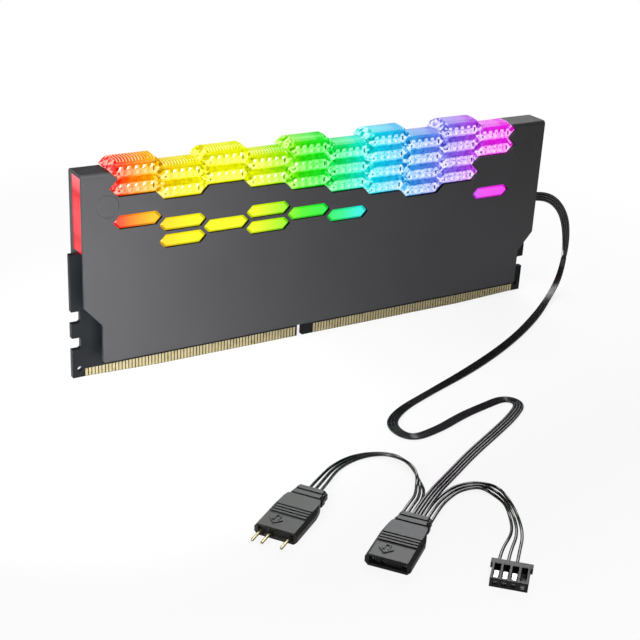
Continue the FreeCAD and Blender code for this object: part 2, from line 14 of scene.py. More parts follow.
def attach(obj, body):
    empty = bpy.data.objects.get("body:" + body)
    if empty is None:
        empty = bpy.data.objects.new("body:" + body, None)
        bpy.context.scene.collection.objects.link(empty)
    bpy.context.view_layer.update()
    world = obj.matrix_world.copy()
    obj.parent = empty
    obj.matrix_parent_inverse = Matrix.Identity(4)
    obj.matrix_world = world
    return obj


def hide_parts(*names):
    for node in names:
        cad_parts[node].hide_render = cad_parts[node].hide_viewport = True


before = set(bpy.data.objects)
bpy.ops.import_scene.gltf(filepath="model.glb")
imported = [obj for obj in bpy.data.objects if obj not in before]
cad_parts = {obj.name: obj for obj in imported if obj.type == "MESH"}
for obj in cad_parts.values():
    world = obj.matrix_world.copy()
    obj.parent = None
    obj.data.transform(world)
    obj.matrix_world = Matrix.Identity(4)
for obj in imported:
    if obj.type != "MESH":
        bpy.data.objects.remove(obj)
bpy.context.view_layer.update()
MM = 0.001
BODY = "root"
random.seed(7)

# Honeycomb of the light bar, as in the part
CELL_PITCH = 11.26
CELL_SLANT = 2.0
CELL_HALF = 2.03
CELL_FLAT = CELL_PITCH - CELL_SLANT
COMB_CENTER_X = -0.68
COMB_BASE_Z = 44.61
COLUMN_LEVELS = (0, -1, 0, -1, -2, -3, -4, -5, -4, -1)
COLUMN_CELLS = (2, 2, 2, 2, 3, 3, 4, 4, 4, 2)
BAR_HALF_DEPTH = 3.45
BAR_ROUND = 2.2
CORE_DEPTH = 0.52
FACE_DROP = 0.45

# Where the covers' opening and windows lie, whose shaded cut edges get painted shade, and from where the edge
# below the bar is lit
CUT_REACH = 58.5
CUT_LOW = 25.0
CUT_HIGH = 49.3
LIT_EDGE_X = 44.0

# Moulded relief of each cell's face: blocks below a row of leaning shells, and two dimples near its ends
BLOCK_PITCH = 1.9
BLOCK_COUNT = 5
BLOCK_SIZE = (1.7, 1.35)
BLOCK_DROP = 0.52
BLOCK_NARROW = 0.9
SHELL_SIZE = (1.6, 0.85)
SHELL_LIFT = 0.62
SHELL_LEAN = 0.15
SHELL_NARROW = 0.5
RELIEF_RISE = 0.2
RELIEF_SINK = 0.05
RELIEF_TOP_SHARE = 0.45
DIMPLE_PLACES = ((3.9, 0.0), (-4.4, -0.4))
DIMPLE_SIZES = ((0.5, 1.3), (0.6, 0.6))
DIMPLE_SIDES = 8

# Ribs across the crown of each column
RIB_PITCH = 0.7
RIB_RADIUS = 0.17
RIB_SIDES = 8
RIB_FIRST_TURN = 48.0
RIB_TURN_STEPS = 4
RIB_REAR = 1.25
RIB_END_REACH = 0.5
PALE_RIB_REACH = 1.5

# Painted highlight and shade of facets, as sparkle, and their busyness. Sparkle is -2 for black, -1 for the
# deepest colour, 0 for the plain one and 1 for the palest. Busyness is how strongly painted glints of small
# crystal facets break a face up.
# The bar's core, in shade behind the covers, gets painted shade in black.
BAR_CORE = (-2.0, 0.0)
BAR_END = (0.1, 0.6)
BAR_FACE = (0.35, 0.2)
BAR_TOP = (-0.35, 0.12)
BAR_UPPER_SLOPE = (-0.6, 0.25)
BAR_LOWER_SLOPE = (0.05, 0.2)
# Ribs get painted shade on their rear ends and sides and a painted highlight on their backs.
RIB_END = (-1.3, 0.3)
RIB_SIDE = (-0.7, 0.1)
RIB_PALE_BACK = (1.0, 0.1)
RIB_PLAIN_BACK = (0.3, 0.2)
# Pads' faces are bright; their lower and right bevels get painted shade.
PAD_FACE = (0.1, 0.0)
PAD_DIM_BEVEL = (-0.9, 0.0)
PAD_BEVEL = (-0.15, 0.0)
RELIEF_BUSYNESS = 0.12
# Painted highlight and shade, as sparkle, of the top and the four sides of a block and of a shell, and of
# each dimple
BLOCK_SPARKLES = (1.0, 0.55, 0.25, 0.7, 0.6)
SHELL_SPARKLES = (0.8, -0.5, -0.2, 0.55, 0.65)
DIMPLE_SPARKLES = (-1.6, -1.2)

# Wires of the flat lead and its branches
WIRE_RADIUS = 0.32
WIRE_SPACING = 0.64
WIRE_SIDES = 10
LEAD_WIRES = 4
BRANCH_WIRES = 3
LINE_STEPS = 10

# Plugs: middle of the front end and turn from front to rear, as in the part
MALE_PLACE = (-57.1, -79.8)
MALE_TURN = 34.9
FEMALE_PLACE = (-43.7, -97.8)
FEMALE_TURN = 37.2
PLUG_THICKNESS = 2.5

# Raised arrow on a plug: its tip, and half of its outer and inner outline as (reach, half width)
ARROW_FRONT = 1.3
ARROW_ACROSS = 1.3
ARROW_OUTER = ((0.0, 0.0), (1.5, 1.45), (1.5, 0.6), (3.0, 0.6))
ARROW_INNER = ((0.36, 0.0), (1.26, 0.87), (1.26, 0.34), (2.74, 0.34))
ARROW_SINK = 0.1
ARROW_RISE = 0.2

# Routes of the leads, the same points as in the part, with the flat lead laid on the floor
LEAD_ROUTE = (
    (65.995, -1.85, 28.4), (72.0, -1.85, 28.4), (78.6, -2.4, 22.6), (80.2, -3.4, 13.6), (77.6, -5.2, 4.4),
    (70.5, -9.2, 0.5), (56.5, -19.4, 0.4), (40.4, -28.8, 0.4), (22.0, -37.0, 0.4), (5.0, -42.9, 0.4),
    (-6.6, -47.2, 0.4), (-12.6, -52.4, 0.4), (-11.8, -59.6, 0.4), (-3.2, -58.4, 0.4), (5.2, -55.5, 0.4),
    (13.0, -53.9, 0.4), (19.8, -52.7, 0.4), (21.6, -56.8, 0.4), (15.2, -61.2, 0.4), (6.6, -65.6, 0.4),
    (-3.6, -70.6, 0.4), (-13.6, -76.4, 0.6), (-23.07, -82.14, 1.25), (-30.24, -87.58, 1.25))
MALE_BRANCH_ROUTE = (
    (-31.51, -85.91, 1.25), (-28.16, -83.37, 1.25), (-24.0, -80.2, 0.6), (-20.6, -75.6, 0.4),
    (-18.4, -69.6, 0.9), (-19.6, -63.4, 0.9), (-25.6, -60.4, 0.4), (-32.8, -62.2, 0.5),
    (-39.79, -67.73, 1.25), (-43.24, -70.13, 1.25))
SMALL_BRANCH_ROUTE = (
    (-28.97, -89.26, 1.25), (-25.62, -86.72, 1.25), (-20.4, -83.0, 0.6), (-14.6, -80.6, 0.4),
    (-9.8, -82.4, 0.9), (-8.8, -88.0, 0.9), (-11.2, -94.4, 0.5), (-14.8, -100.0, 0.5),
    (-20.55, -104.68, 0.95), (-23.52, -107.65, 0.95))

# Turn of each flat lead about its line in degrees, and spread of its wires, at shares of its length
LEAD_ROLLS = (
    (0.0, 90.0), (0.05, 88.0), (0.16, 35.0), (0.26, 8.0), (0.4, 0.0), (0.5, 14.0), (0.62, -4.0), (1.0, 0.0))
LEAD_SPREADS = ((0.0, 1.0), (1.0, 1.0))
MALE_ROLLS = ((0.0, 0.0), (0.2, 12.0), (0.34, 70.0), (0.5, 20.0), (0.75, 0.0), (1.0, 0.0))
MALE_SPREADS = ((0.0, 1.5), (0.2, 1.3), (0.4, 1.1), (0.7, 1.35), (1.0, 1.9))
SMALL_ROLLS = ((0.0, 0.0), (0.4, 8.0), (0.55, 72.0), (0.72, 20.0), (0.85, 0.0), (1.0, 0.0))
SMALL_SPREADS = ((0.0, 1.5), (0.3, 1.3), (0.65, 1.2), (0.97, 2.58), (1.0, 2.58))

# Rainbow of the lights: place along the bar and the colour there
LIGHT_COLORS = (
    (-60.0, "ff2a4c"), (-57.0, "ff3234"), (-55.0, "ff5018"), (-53.0, "ff7a08"), (-50.5, "ff9e04"),
    (-48.0, "fcba04"), (-44.5, "f6d400"), (-39.0, "f4ea00"), (-29.0, "f6f800"), (-20.0, "e4f400"),
    (-14.0, "a4f200"), (-8.0, "3cf010"), (-2.0, "14ee30"), (3.5, "14ee88"), (8.0, "10f0d8"),
    (14.0, "08dcf4"), (21.0, "30bcf4"), (27.5, "5a9cf0"), (34.0, "8480f0"), (39.0, "a864f0"),
    (44.5, "cc48ee"), (48.0, "f02cf0"), (58.0, "f410ee"))
# Colour of the painted highlights on the brightest facets, along the bar in the same way
PALE_COLORS = (
    (-60.0, "ffb0b4"), (-52.0, "ffdca4"), (-46.0, "fff29a"), (-38.0, "ffff84"), (-24.0, "fbff90"),
    (-13.0, "e8ff9a"), (-4.0, "b4ffb0"), (4.0, "b4ffe4"), (12.0, "ccffff"), (22.0, "e8f8ff"),
    (32.0, "f4f0ff"), (42.0, "fae8ff"), (50.0, "ffd8ff"), (58.0, "ffb8fc"))
# Height of the end windows, and their red from the lowest to the highest point
RED_LOW = 31.0
RED_HIGH = 50.0
RED_COLORS = (
    (0.0, "f62c3a"), (0.1, "f22430"), (0.19, "da1020"), (0.28, "f43a46"), (0.5, "f54650"),
    (0.66, "f43c48"), (0.75, "e00c20"), (0.83, "f4606a"), (1.0, "ff8a90"))

# Camera fitted to the photograph, whose frame is square
CAMERA_PLACE = (-161.84, -256.29, 135.25)
CAMERA_RIGHT = (0.8544, -0.51729, 0.04906)
CAMERA_DOWN = (-0.16894, -0.36583, -0.91522)
CAMERA_FORWARD = (0.49138, 0.77368, -0.39996)
CAMERA_SENSOR = 36.0
CAMERA_LENS = 72.03
CAMERA_NEAREST = 10.0
CAMERA_FARTHEST = 50000.0

# Studio: the floor turns white away from the object, and the surroundings give a weak even light
FLOOR_REACH = 6000.0
FLOOR_FADE = (80.0, 170.0)
FLOOR_GLOW = (0.84, 1.0)
SURROUNDINGS = 0.09

# Making of the meshes
MERGE_DISTANCE = 1e-6
SMOOTH_ANGLE = 32
RIB_SMOOTH_ANGLE = 50
FLAT_ANGLE = 1
BEVEL_ANGLE = 30
FLAT_FACE_WEIGHT = 100
UPRIGHT = 0.3

# Kinds of node used most
MATH = "ShaderNodeMath"
RANGE = "ShaderNodeMapRange"
MIX = "ShaderNodeMix"
RAMP = "ShaderNodeValToRGB"
NOISE = "ShaderNodeTexNoise"
BUMP = "ShaderNodeBump"
ATTRIBUTE = "ShaderNodeAttribute"


# Colours and nodes

def linear(code):
    """Linear RGBA from an sRGB hex code."""
    channels = []
    for i in (0, 2, 4):
        value = int(code[i:i + 2], 16) / 255
        channels.append(value / 12.92 if value <= 0.04045 else ((value + 0.055) / 1.055) ** 2.4)
    return (*channels, 1.0)


def add(tree, kind, inputs=(), stops=(), **settings):
    """Adds one node to a tree.

    Settings are its options. Inputs are its sockets' values, in order or by name, and a node or a socket
    among them is linked. Stops are a ramp's colours, as (position, hex code).
    """
    node = tree.nodes.new(kind)
    for name, value in settings.items():
        setattr(node, name, value)
    named = isinstance(inputs, dict)
    sockets = node.inputs if named else [socket for socket in node.inputs if socket.enabled]
    for key, value in inputs.items() if named else enumerate(inputs):
        if isinstance(value, bpy.types.Node):
            value = next(output for output in value.outputs if output.enabled)
        if isinstance(value, bpy.types.NodeSocket):
            tree.links.new(value, sockets[key])
        else:
            sockets[key].default_value = value
    if stops:
        elements = node.color_ramp.elements
        while len(elements) < len(stops):
            elements.new(0.5)
        for element, (position, code) in zip(elements, stops):
            element.position = position
            element.color = linear(code)
    return node


def new_material(name):
    """An empty material, its tree and its Object coordinates."""
    material = bpy.data.materials.new(name)
    material.use_nodes = True
    tree = material.node_tree
    tree.nodes.clear()
    return material, tree, add(tree, "ShaderNodeTexCoord").outputs["Object"]


def close(material, inputs):
    """Ends a material with its surface shader."""
    tree = material.node_tree
    shader = add(tree, "ShaderNodeBsdfPrincipled", inputs)
    add(tree, "ShaderNodeOutputMaterial", (shader,))
    return material


def grain_scale(size):
    """Scale of a pattern whose grains are size millimetres across."""
    return 1 / (size * MM)


def rainbow(tree, x, colors):
    """Colour at a place along the bar."""
    low, high = colors[0][0], colors[-1][0]
    stops = [((place - low) / (high - low), code) for place, code in colors]
    return add(tree, RAMP, (add(tree, RANGE, (x, low * MM, high * MM)),), stops)


# Materials

def anodised_aluminium():
    """Aluminium sheet, bead blasted and anodised dark grey: a satin skin with a very fine grain."""
    material, tree, point = new_material("anodised_aluminium")
    # Painted shade: faces marked as shaded, the covers' cut edges, are painted near black and lose most of
    # their gloss.
    painted_shade = add(tree, ATTRIBUTE, attribute_name="painted_shade").outputs["Fac"]
    # The blasted grain is about 0.1 mm; it is drawn at 0.35 mm so that it shows.
    grain = add(tree, NOISE, {"Vector": point, "Scale": grain_scale(0.35), "Detail": 3.0, "Roughness": 0.6})
    cloud = add(tree, NOISE, {"Vector": point, "Scale": grain_scale(30.0)})
    tone = add(tree, RAMP, (cloud,), ((0.3, "343436"), (0.7, "39393b")))
    pale = add(tree, MIX, (add(tree, RANGE, (grain, 0.3, 0.7)), tone, linear("444446")), data_type="RGBA")
    skin = add(tree, MIX, (0.35, tone, pale), data_type="RGBA")
    return close(material, {
        "Base Color": add(tree, MIX, (painted_shade, skin, linear("020202")), data_type="RGBA"),
        "Metallic": 0.25,
        "Specular IOR Level": add(tree, RANGE, (painted_shade, 0.0, 1.0, 0.4, 0.05)),
        "Roughness": add(tree, RANGE, (grain, 0.3, 0.7, 0.42, 0.52)),
        "Normal": add(tree, BUMP, {"Height": grain, "Distance": 0.02 * MM, "Strength": 0.5})})


def lit_acrylic(name, gloss, cut):
    """Acrylic glowing in the coloured lights, with painted shade in its grooves and painted highlights on its
    brightest facets.

    Cut is 1 for the bar, whose cells break up into small crystal facets towards their ends, and 0 for the
    plain windows. Each step below is counted in sparkle, as the faces' own sparkle is.
    """
    material, tree, point = new_material(name)
    x = add(tree, "ShaderNodeSeparateXYZ", (point,)).outputs["X"]
    sparkle = add(tree, ATTRIBUTE, attribute_name="sparkle").outputs["Fac"]
    busy = add(tree, ATTRIBUTE, attribute_name="busy").outputs["Fac"]
    right = add(tree, RANGE, (x, -30.0 * MM, 30.0 * MM))

    # How near the end of a cell a point is; the column's middle is half a pitch from its ends.
    from_comb = add(tree, MATH, (x, COMB_CENTER_X * MM), operation="SUBTRACT")
    from_end = add(tree, MATH, (from_comb, CELL_PITCH / 2 * MM), operation="PINGPONG")
    ends = add(tree, RANGE, (from_end, 1.9 * MM, 1.0 * MM, 0.0, cut))

    # Painted glints: crystal facets, about 0.75 mm across, flicker where a face is busy and at the ends of
    # the cells.
    crystals = add(tree, "ShaderNodeTexVoronoi", {"Vector": point, "Scale": grain_scale(0.75)})
    tint = add(tree, "ShaderNodeSeparateColor", (crystals.outputs["Color"],))
    end_busyness = add(tree, MATH, (ends, 0.7), operation="MULTIPLY")
    busyness = add(tree, MATH, (busy, end_busyness), operation="ADD")
    swing = add(tree, RANGE, (tint, 0.0, 1.0, -1.0, 1.0))
    flicker = add(tree, MATH, (busyness, swing), operation="MULTIPLY")

    # Dark specks of 0.45 mm, and a pale wash, both stronger towards the right.
    dust = add(tree, NOISE, {"Vector": point, "Scale": grain_scale(0.45), "Detail": 1.0})
    speck_depth = add(tree, RANGE, (right, 0.3, 1.0, 0.15 * cut, 0.75 * cut))
    specks = add(tree, MATH, (add(tree, RANGE, (dust, 0.55, 0.66)), speck_depth), operation="MULTIPLY")
    side_wash = add(tree, RANGE, (right, 0.5, 1.0, 0.0, 0.2 * cut))
    end_wash = add(tree, MATH, (ends, add(tree, RANGE, (right, 0.0, 1.0, 0.25, 0.55))), operation="MULTIPLY")
    wash = add(tree, MATH, (side_wash, end_wash), operation="ADD")
    marks = add(tree, MATH, (wash, specks), operation="SUBTRACT")
    face = add(tree, MATH, (add(tree, RANGE, (sparkle, -1.0, 0.2, 0.15, 1.0)), marks), operation="MULTIPLY")

    # The painted shade of the darkest faces turns black only where the light is strong, towards the right.
    black_shade_depth = add(tree, RANGE, (right, 0.2, 0.9, 0.35, 1.0))
    black_shade = add(tree, MATH, (add(tree, RANGE, (sparkle, -1.0, -2.0, 0.0, -1.0)), black_shade_depth),
              operation="MULTIPLY")

    limited = add(tree, MATH, (sparkle, -1.0), operation="MAXIMUM")
    lit = add(tree, MATH, (limited, flicker), operation="ADD")
    marked = add(tree, MATH, (lit, face), operation="ADD")
    level = add(tree, MATH, (marked, black_shade), operation="ADD")

    # Painted shade: faces below the plain level turn to a deep colour and then to black; painted highlights
    # above it turn pale.
    plain = rainbow(tree, x, LIGHT_COLORS)
    greyed = add(tree, MIX, (0.45, plain, linear("909090")), data_type="RGBA")
    deep = add(tree, MIX, (1.0, plain, greyed), data_type="RGBA", blend_type="MULTIPLY")
    low = add(tree, MIX, (add(tree, RANGE, (level, 0.0, -1.0)), plain, deep), data_type="RGBA")
    dark = add(tree, MIX, (add(tree, RANGE, (level, -1.0, -2.0)), low, linear("000000")), data_type="RGBA")
    pale = rainbow(tree, x, PALE_COLORS)
    return close(material, {
        "Base Color": add(tree, MIX, (0.93, dark, linear("000000")), data_type="RGBA"),
        "Roughness": gloss, "IOR": 1.49, "Specular IOR Level": 0.3,
        "Emission Color": add(tree, MIX, (add(tree, RANGE, (level, 0.0, 1.0)), dark, pale), data_type="RGBA"),
        "Emission Strength": 0.97})


def red_acrylic():
    """Milky acrylic lit red from below, with two deeper spots where the lights sit."""
    material, tree, point = new_material("red_acrylic")
    z = add(tree, "ShaderNodeSeparateXYZ", (point,)).outputs["Z"]
    height = add(tree, RANGE, (z, RED_LOW * MM, RED_HIGH * MM))
    return close(material, {
        "Base Color": linear("3a0a0c"), "Roughness": 0.25, "IOR": 1.49, "Specular IOR Level": 0.3,
        "Emission Color": add(tree, RAMP, (height,), RED_COLORS), "Emission Strength": 0.95})


def solder_mask():
    """Glass-fibre board under a black solder mask: smooth, slightly wavy and semi-gloss."""
    material, tree, point = new_material("solder_mask")
    weave = add(tree, NOISE, {"Vector": point, "Scale": grain_scale(0.8), "Detail": 1.0})
    cloud = add(tree, NOISE, {"Vector": point, "Scale": grain_scale(6.0)})
    return close(material, {
        "Base Color": add(tree, RAMP, (cloud,), ((0.3, "0b0d0f"), (0.7, "121518"))),
        "Roughness": 0.38, "IOR": 1.5, "Specular IOR Level": 0.15,
        "Normal": add(tree, BUMP, {"Height": weave, "Distance": 0.02 * MM, "Strength": 0.3})})


def plated_metal(name, metallic, mark_size, colors, gloss):
    """Metal finished by plating or blackening: fine marks change its tone and its gloss."""
    material, tree, point = new_material(name)
    marks = add(tree, NOISE, {
        "Vector": point, "Scale": grain_scale(mark_size), "Detail": 3.0, "Roughness": 0.6})
    return close(material, {
        "Base Color": add(tree, RAMP, (marks,), colors), "Metallic": metallic,
        "Roughness": add(tree, RANGE, (marks, 0.3, 0.7, *gloss))})


def chip_epoxy():
    """Moulded epoxy package: black, matte and slightly grained."""
    material, tree, point = new_material("chip_epoxy")
    # The filler grain is under 0.1 mm; it is drawn at 0.3 mm so that it shows.
    grain = add(tree, NOISE, {"Vector": point, "Scale": grain_scale(0.3)})
    return close(material, {
        "Base Color": add(tree, RAMP, (grain,), ((0.3, "141416"), (0.7, "1d1d1f"))),
        "Roughness": 0.6, "IOR": 1.55,
        "Normal": add(tree, BUMP, {"Height": grain, "Distance": 0.01 * MM, "Strength": 0.4})})


def silicone_pad():
    """Filled silicone sheet: soft, matte, pale blue-grey with darker specks."""
    material, tree, point = new_material("silicone_pad")
    speck = add(tree, NOISE, {"Vector": point, "Scale": grain_scale(0.4)})
    return close(material, {
        "Base Color": add(tree, RAMP, (speck,), ((0.35, "6f7a84"), (0.6, "9aa6ae"))),
        "Roughness": 0.85, "IOR": 1.41,
        "Normal": add(tree, BUMP, {"Height": speck, "Distance": 0.03 * MM, "Strength": 0.5})})


def light_package():
    """White moulded package of a small light, under clear resin, lit in the colour of its place."""
    material, tree, point = new_material("light_package")
    x = add(tree, "ShaderNodeSeparateXYZ", (point,)).outputs["X"]
    cloud = add(tree, NOISE, {"Vector": point, "Scale": grain_scale(0.5)})
    return close(material, {
        "Base Color": add(tree, RAMP, (cloud,), ((0.3, "e4e2d8"), (0.7, "f4f2ea"))),
        "Roughness": 0.3, "IOR": 1.5,
        "Emission Color": rainbow(tree, x, LIGHT_COLORS), "Emission Strength": 0.6})


def wire_vinyl():
    """Extruded vinyl insulation: black, with the long soft highlights of a drawn surface."""
    material, tree, point = new_material("wire_vinyl")
    smear = add(tree, NOISE, {"Vector": point, "Scale": grain_scale(1.6)})
    return close(material, {
        "Base Color": add(tree, RAMP, (smear,), ((0.3, "050505"), (0.7, "0b0b0c"))),
        "Roughness": add(tree, RANGE, (smear, 0.3, 0.7, 0.2, 0.28)),
        "IOR": 1.53, "Specular IOR Level": 0.8})


def moulded_shell(name, colors, gloss):
    """Injection moulded plastic or rubber with a spark-eroded grain: dark, satin and finely pitted."""
    material, tree, point = new_material(name)
    # Painted shade: faces marked as shaded, such as a plug's flanks, are painted near black.
    painted_shade = add(tree, ATTRIBUTE, attribute_name="painted_shade").outputs["Fac"]
    # The eroded grain is about 0.05 mm; it is drawn at 0.25 mm so that it shows.
    grain = add(tree, NOISE, {"Vector": point, "Scale": grain_scale(0.25), "Detail": 3.0, "Roughness": 0.6})
    tone = add(tree, RAMP, (grain,), colors)
    return close(material, {
        "Base Color": add(tree, MIX, (painted_shade, tone, linear("040404")), data_type="RGBA"),
        "Roughness": add(tree, RANGE, (grain, 0.3, 0.7, *gloss)), "IOR": 1.52,
        "Normal": add(tree, BUMP, {"Height": grain, "Distance": 0.02 * MM, "Strength": 0.5})})


ALUMINIUM = anodised_aluminium()
CRYSTAL = lit_acrylic("crystal_acrylic", 0.14, 1.0)
MILKY = lit_acrylic("milky_acrylic", 0.3, 0.0)
RED = red_acrylic()
MASK = solder_mask()
# Gold over nickel: pale yellow, with wipe marks of about 1.2 mm
GOLD = plated_metal("gold_plate", 1.0, 1.2, ((0.3, "b4a880"), (0.7, "ccc098")), (0.24, 0.4))
EPOXY = chip_epoxy()
SILICONE = silicone_pad()
# Blackened steel: dark, with a slight oil sheen
STEEL = plated_metal("blackened_steel", 0.9, 0.6, ((0.35, "2b2b2d"), (0.75, "47474a")), (0.3, 0.45))
LIGHTS = light_package()
VINYL = wire_vinyl()
SHELL = moulded_shell("plug_abs", ((0.3, "444446"), (0.7, "4e4e50")), (0.4, 0.5))
RUBBER = moulded_shell("outlet_rubber", ((0.3, "121213"), (0.7, "1b1b1c")), (0.6, 0.7))
HOUSING = moulded_shell("housing_nylon", ((0.3, "303032"), (0.7, "3a3a3c")), (0.37, 0.47))
# Tinned crimp terminals: bright soft metal with drawing marks of about 0.5 mm
TIN = plated_metal("tin_plate", 0.6, 0.5, ((0.3, "c9cccd"), (0.7, "f2f3f3")), (0.2, 0.38))


# Making of pieces

def link(name, data):
    """A new object in the scene."""
    piece = bpy.data.objects.new(name, data)
    bpy.context.scene.collection.objects.link(piece)
    return piece


def plain_mesh(piece):
    """The mesh of an object as evaluated, with its modifiers applied."""
    bpy.context.view_layer.update()
    return bpy.data.meshes.new_from_object(piece.evaluated_get(bpy.context.evaluated_depsgraph_get()))


def bake(piece):
    """Applies a piece's modifiers and removes them."""
    mesh = plain_mesh(piece)
    piece.modifiers.clear()
    piece.data = mesh


def mesh_of(name, points, edges=(), faces=()):
    """A mesh from points in millimetres."""
    mesh = bpy.data.meshes.new(name)
    mesh.from_pydata([Vector(point) * MM for point in points], edges, faces)
    return mesh


def smooth_by_angle(mesh, degrees=SMOOTH_ANGLE):
    """Smooth shading, with edges sharper than the angle kept crisp."""
    form = bmesh.new()
    form.from_mesh(mesh)
    for face in form.faces:
        face.smooth = True
    for edge in form.edges:
        edge.smooth = len(edge.link_faces) == 2 and edge.calc_face_angle() < math.radians(degrees)
    form.to_mesh(mesh)
    form.free()


def dress(piece, finish):
    """Gives a finished piece its material and its body."""
    piece.data.materials.clear()
    piece.data.materials.append(finish)
    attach(piece, BODY)
    return piece


def mesh_piece(name, points, faces, finish):
    """A piece from points in millimetres, with its doubles merged and its faces turned outwards."""
    mesh = mesh_of(name, points, faces=faces)
    form = bmesh.new()
    form.from_mesh(mesh)
    bmesh.ops.remove_doubles(form, verts=form.verts, dist=MERGE_DISTANCE)
    bmesh.ops.recalc_face_normals(form, faces=form.faces)
    form.to_mesh(mesh)
    form.free()
    smooth_by_angle(mesh)
    return dress(link(name, mesh), finish)


def softened(node, name, finish, edge, segments=2):
    """A CAD node's own form with its edges softened by edge millimetres; it stands for the node."""
    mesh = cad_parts[node].data.copy()
    form = bmesh.new()
    form.from_mesh(mesh)
    bmesh.ops.remove_doubles(form, verts=form.verts, dist=MERGE_DISTANCE)
    bmesh.ops.dissolve_limit(form, angle_limit=math.radians(FLAT_ANGLE), verts=form.verts, edges=form.edges)
    for face in form.faces:
        face.smooth = True
    form.to_mesh(mesh)
    form.free()
    piece = link(name, mesh)
    bevel = piece.modifiers.new("soft_edges", "BEVEL")
    bevel.width = edge * MM
    bevel.segments = segments
    bevel.limit_method = "ANGLE"
    bevel.angle_limit = math.radians(BEVEL_ANGLE)
    piece.modifiers.new("flat_faces", "WEIGHTED_NORMAL").weight = FLAT_FACE_WEIGHT
    bake(piece)
    dress(piece, finish)
    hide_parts(node)
    return piece


def finish_node(node, finish):
    """Gives a CAD node that keeps its shape a better material."""
    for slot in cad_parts[node].material_slots:
        slot.material = finish


def store(mesh, name, values):
    """Keeps one value for each face."""
    mesh.attributes.new(name, "FLOAT", "FACE").data.foreach_set("value", values)


def mark_painted_shade(piece, rule):
    """Stores how much painted shade each face gets, from 0 to 1, from its normal and its middle in
    millimetres.
    """
    store(piece.data, "painted_shade", [rule(face.normal, face.center / MM) for face in piece.data.polygons])


def mark_facets(piece, rule):
    """Stores each face's sparkle and busyness, from its normal and its middle in millimetres."""
    marks = [rule(face.normal, face.center / MM) for face in piece.data.polygons]
    for name, values in zip(("sparkle", "busy"), zip(*marks)):
        store(piece.data, name, values)


def new_tree(name, sockets):
    """A geometry tree with named inputs, and its input node."""
    tree = bpy.data.node_groups.new(name, "GeometryNodeTree")
    tree.interface.new_socket("Geometry", in_out="OUTPUT", socket_type="NodeSocketGeometry")
    tree.interface.new_socket("Geometry", in_out="INPUT", socket_type="NodeSocketGeometry")
    for label, kind in sockets:
        tree.interface.new_socket(label, in_out="INPUT", socket_type=kind)
    tree.interface.new_socket("Finish", in_out="INPUT", socket_type="NodeSocketMaterial")
    return tree, add(tree, "NodeGroupInput").outputs


def close_tree(tree, given, copies):
    """Ends a geometry tree with real copies in their finish."""
    real = add(tree, "GeometryNodeRealizeInstances", (copies,))
    dressed = add(tree, "GeometryNodeSetMaterial", {"Geometry": real, "Material": given["Finish"]})
    add(tree, "NodeGroupOutput", {"Geometry": dressed})
    return tree


def run_tree(piece, tree, values):
    """Runs a geometry tree on a piece with its named inputs set, and keeps the plain mesh."""
    modifier = piece.modifiers.new(tree.name, "NODES")
    modifier.node_group = tree
    for item in tree.interface.items_tree:
        if item.in_out == "INPUT" and item.name in values:
            modifier[item.identifier] = values[item.name]
    bake(piece)


# Covers

def painted_cut_edge_shade(normal, center):
    """The cut edges of the opening and the windows get painted shade near black, but for the lit one below
    the last column.
    """
    inside = abs(normal.y) < 0.9 and abs(center.x - COMB_CENTER_X) < CUT_REACH
    lit = center.x > LIT_EDGE_X and normal.z > 0.5
    return 1.0 if inside and CUT_LOW < center.z < CUT_HIGH and not lit else 0.0


def covers():
    """Front and rear cover, and the studs whose heads lie flush in the front one."""
    for side in ("front", "rear"):
        cover = softened(side + "_cover", side + "_cover_sheet", ALUMINIUM, edge=0.08)
        mark_painted_shade(cover, painted_cut_edge_shade)
    softened("cover_studs", "flush_studs", ALUMINIUM, edge=0.03, segments=1)


# Light bar

def column_x(column):
    """Middle of a column of cells."""
    return COMB_CENTER_X + (column - (len(COLUMN_LEVELS) - 1) / 2) * CELL_PITCH


def level_z(level):
    """Height of a level, counted in half cells."""
    return COMB_BASE_Z + level * CELL_HALF


def bar_facet(normal, center):
    """Painted light by facing: the upper slope of each cell gets painted shade in a deep colour, its slanted
    ends painted glints, its shaded core painted black.
    """
    if abs(center.y) < BAR_HALF_DEPTH - CORE_DEPTH and normal.z < 0.3:
        return BAR_CORE
    if abs(normal.x) > 0.3:
        return BAR_END
    if abs(normal.y) > 0.97:
        return BAR_FACE
    if normal.z > 0.6:
        return BAR_TOP
    return BAR_UPPER_SLOPE if normal.z > 0.2 else BAR_LOWER_SLOPE


def light_bar():
    """Clear bar of the part, with softened edges."""
    bar = softened("light_bar", "crystal_bar", CRYSTAL, edge=0.12)
    mark_facets(bar, bar_facet)


def pillow(form, middle, size, narrow, sparkles):
    """Adds a raised four-sided pillow to a form; sparkles are those of its top and its four sides."""
    points, faces, marks = form
    base = len(points)
    for share, y in ((1.0, RELIEF_SINK), (RELIEF_TOP_SHARE, -RELIEF_RISE)):
        for across, up in ((-1, -1), (1, -1), (1, 1), (-1, 1)):
            width = size[0] / 2 * share * (narrow if up > 0 else 1.0)
            points.append((middle[0] + across * width, y, middle[1] + up * size[1] / 2 * share))
    faces.append((base + 4, base + 5, base + 6, base + 7))
    for i in range(4):
        j = (i + 1) % 4
        faces.append((base + i, base + j, base + 4 + j, base + 4 + i))
    faces.append((base + 3, base + 2, base + 1, base))
    marks += [sparkle * random.uniform(0.75, 1.0) for sparkle in sparkles] + [0.0]


